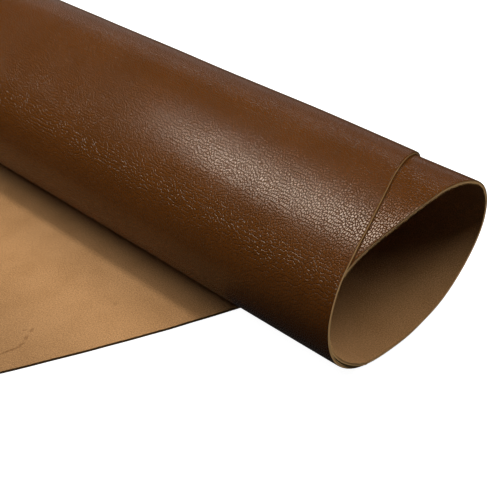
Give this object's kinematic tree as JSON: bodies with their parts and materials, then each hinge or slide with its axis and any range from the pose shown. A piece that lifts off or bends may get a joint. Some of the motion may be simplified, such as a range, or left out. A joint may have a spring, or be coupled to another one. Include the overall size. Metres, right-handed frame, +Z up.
{
  "type": "rolled leather hide",
  "caption": "Cut piece of pebbled brown leather, rolled up suede side in, with a flat end and a bowed near edge.",
  "frame": {"origin": "on the surface that the piece lies on, under the middle of its box", "axes": "+Y along the roll, from its near mouth to its far one; +X from the flat end to the roll; +Z up"},
  "size_m": [0.2872, 0.5002, 0.0986],
  "materials": {
    "leather": "semi-gloss pebbled grain on the outside of the roll, matt tan suede on the inside and on top of the flat end"
  },
  "bodies": {
    "root": {"hide": "leather"}
  },
  "joints": []
}
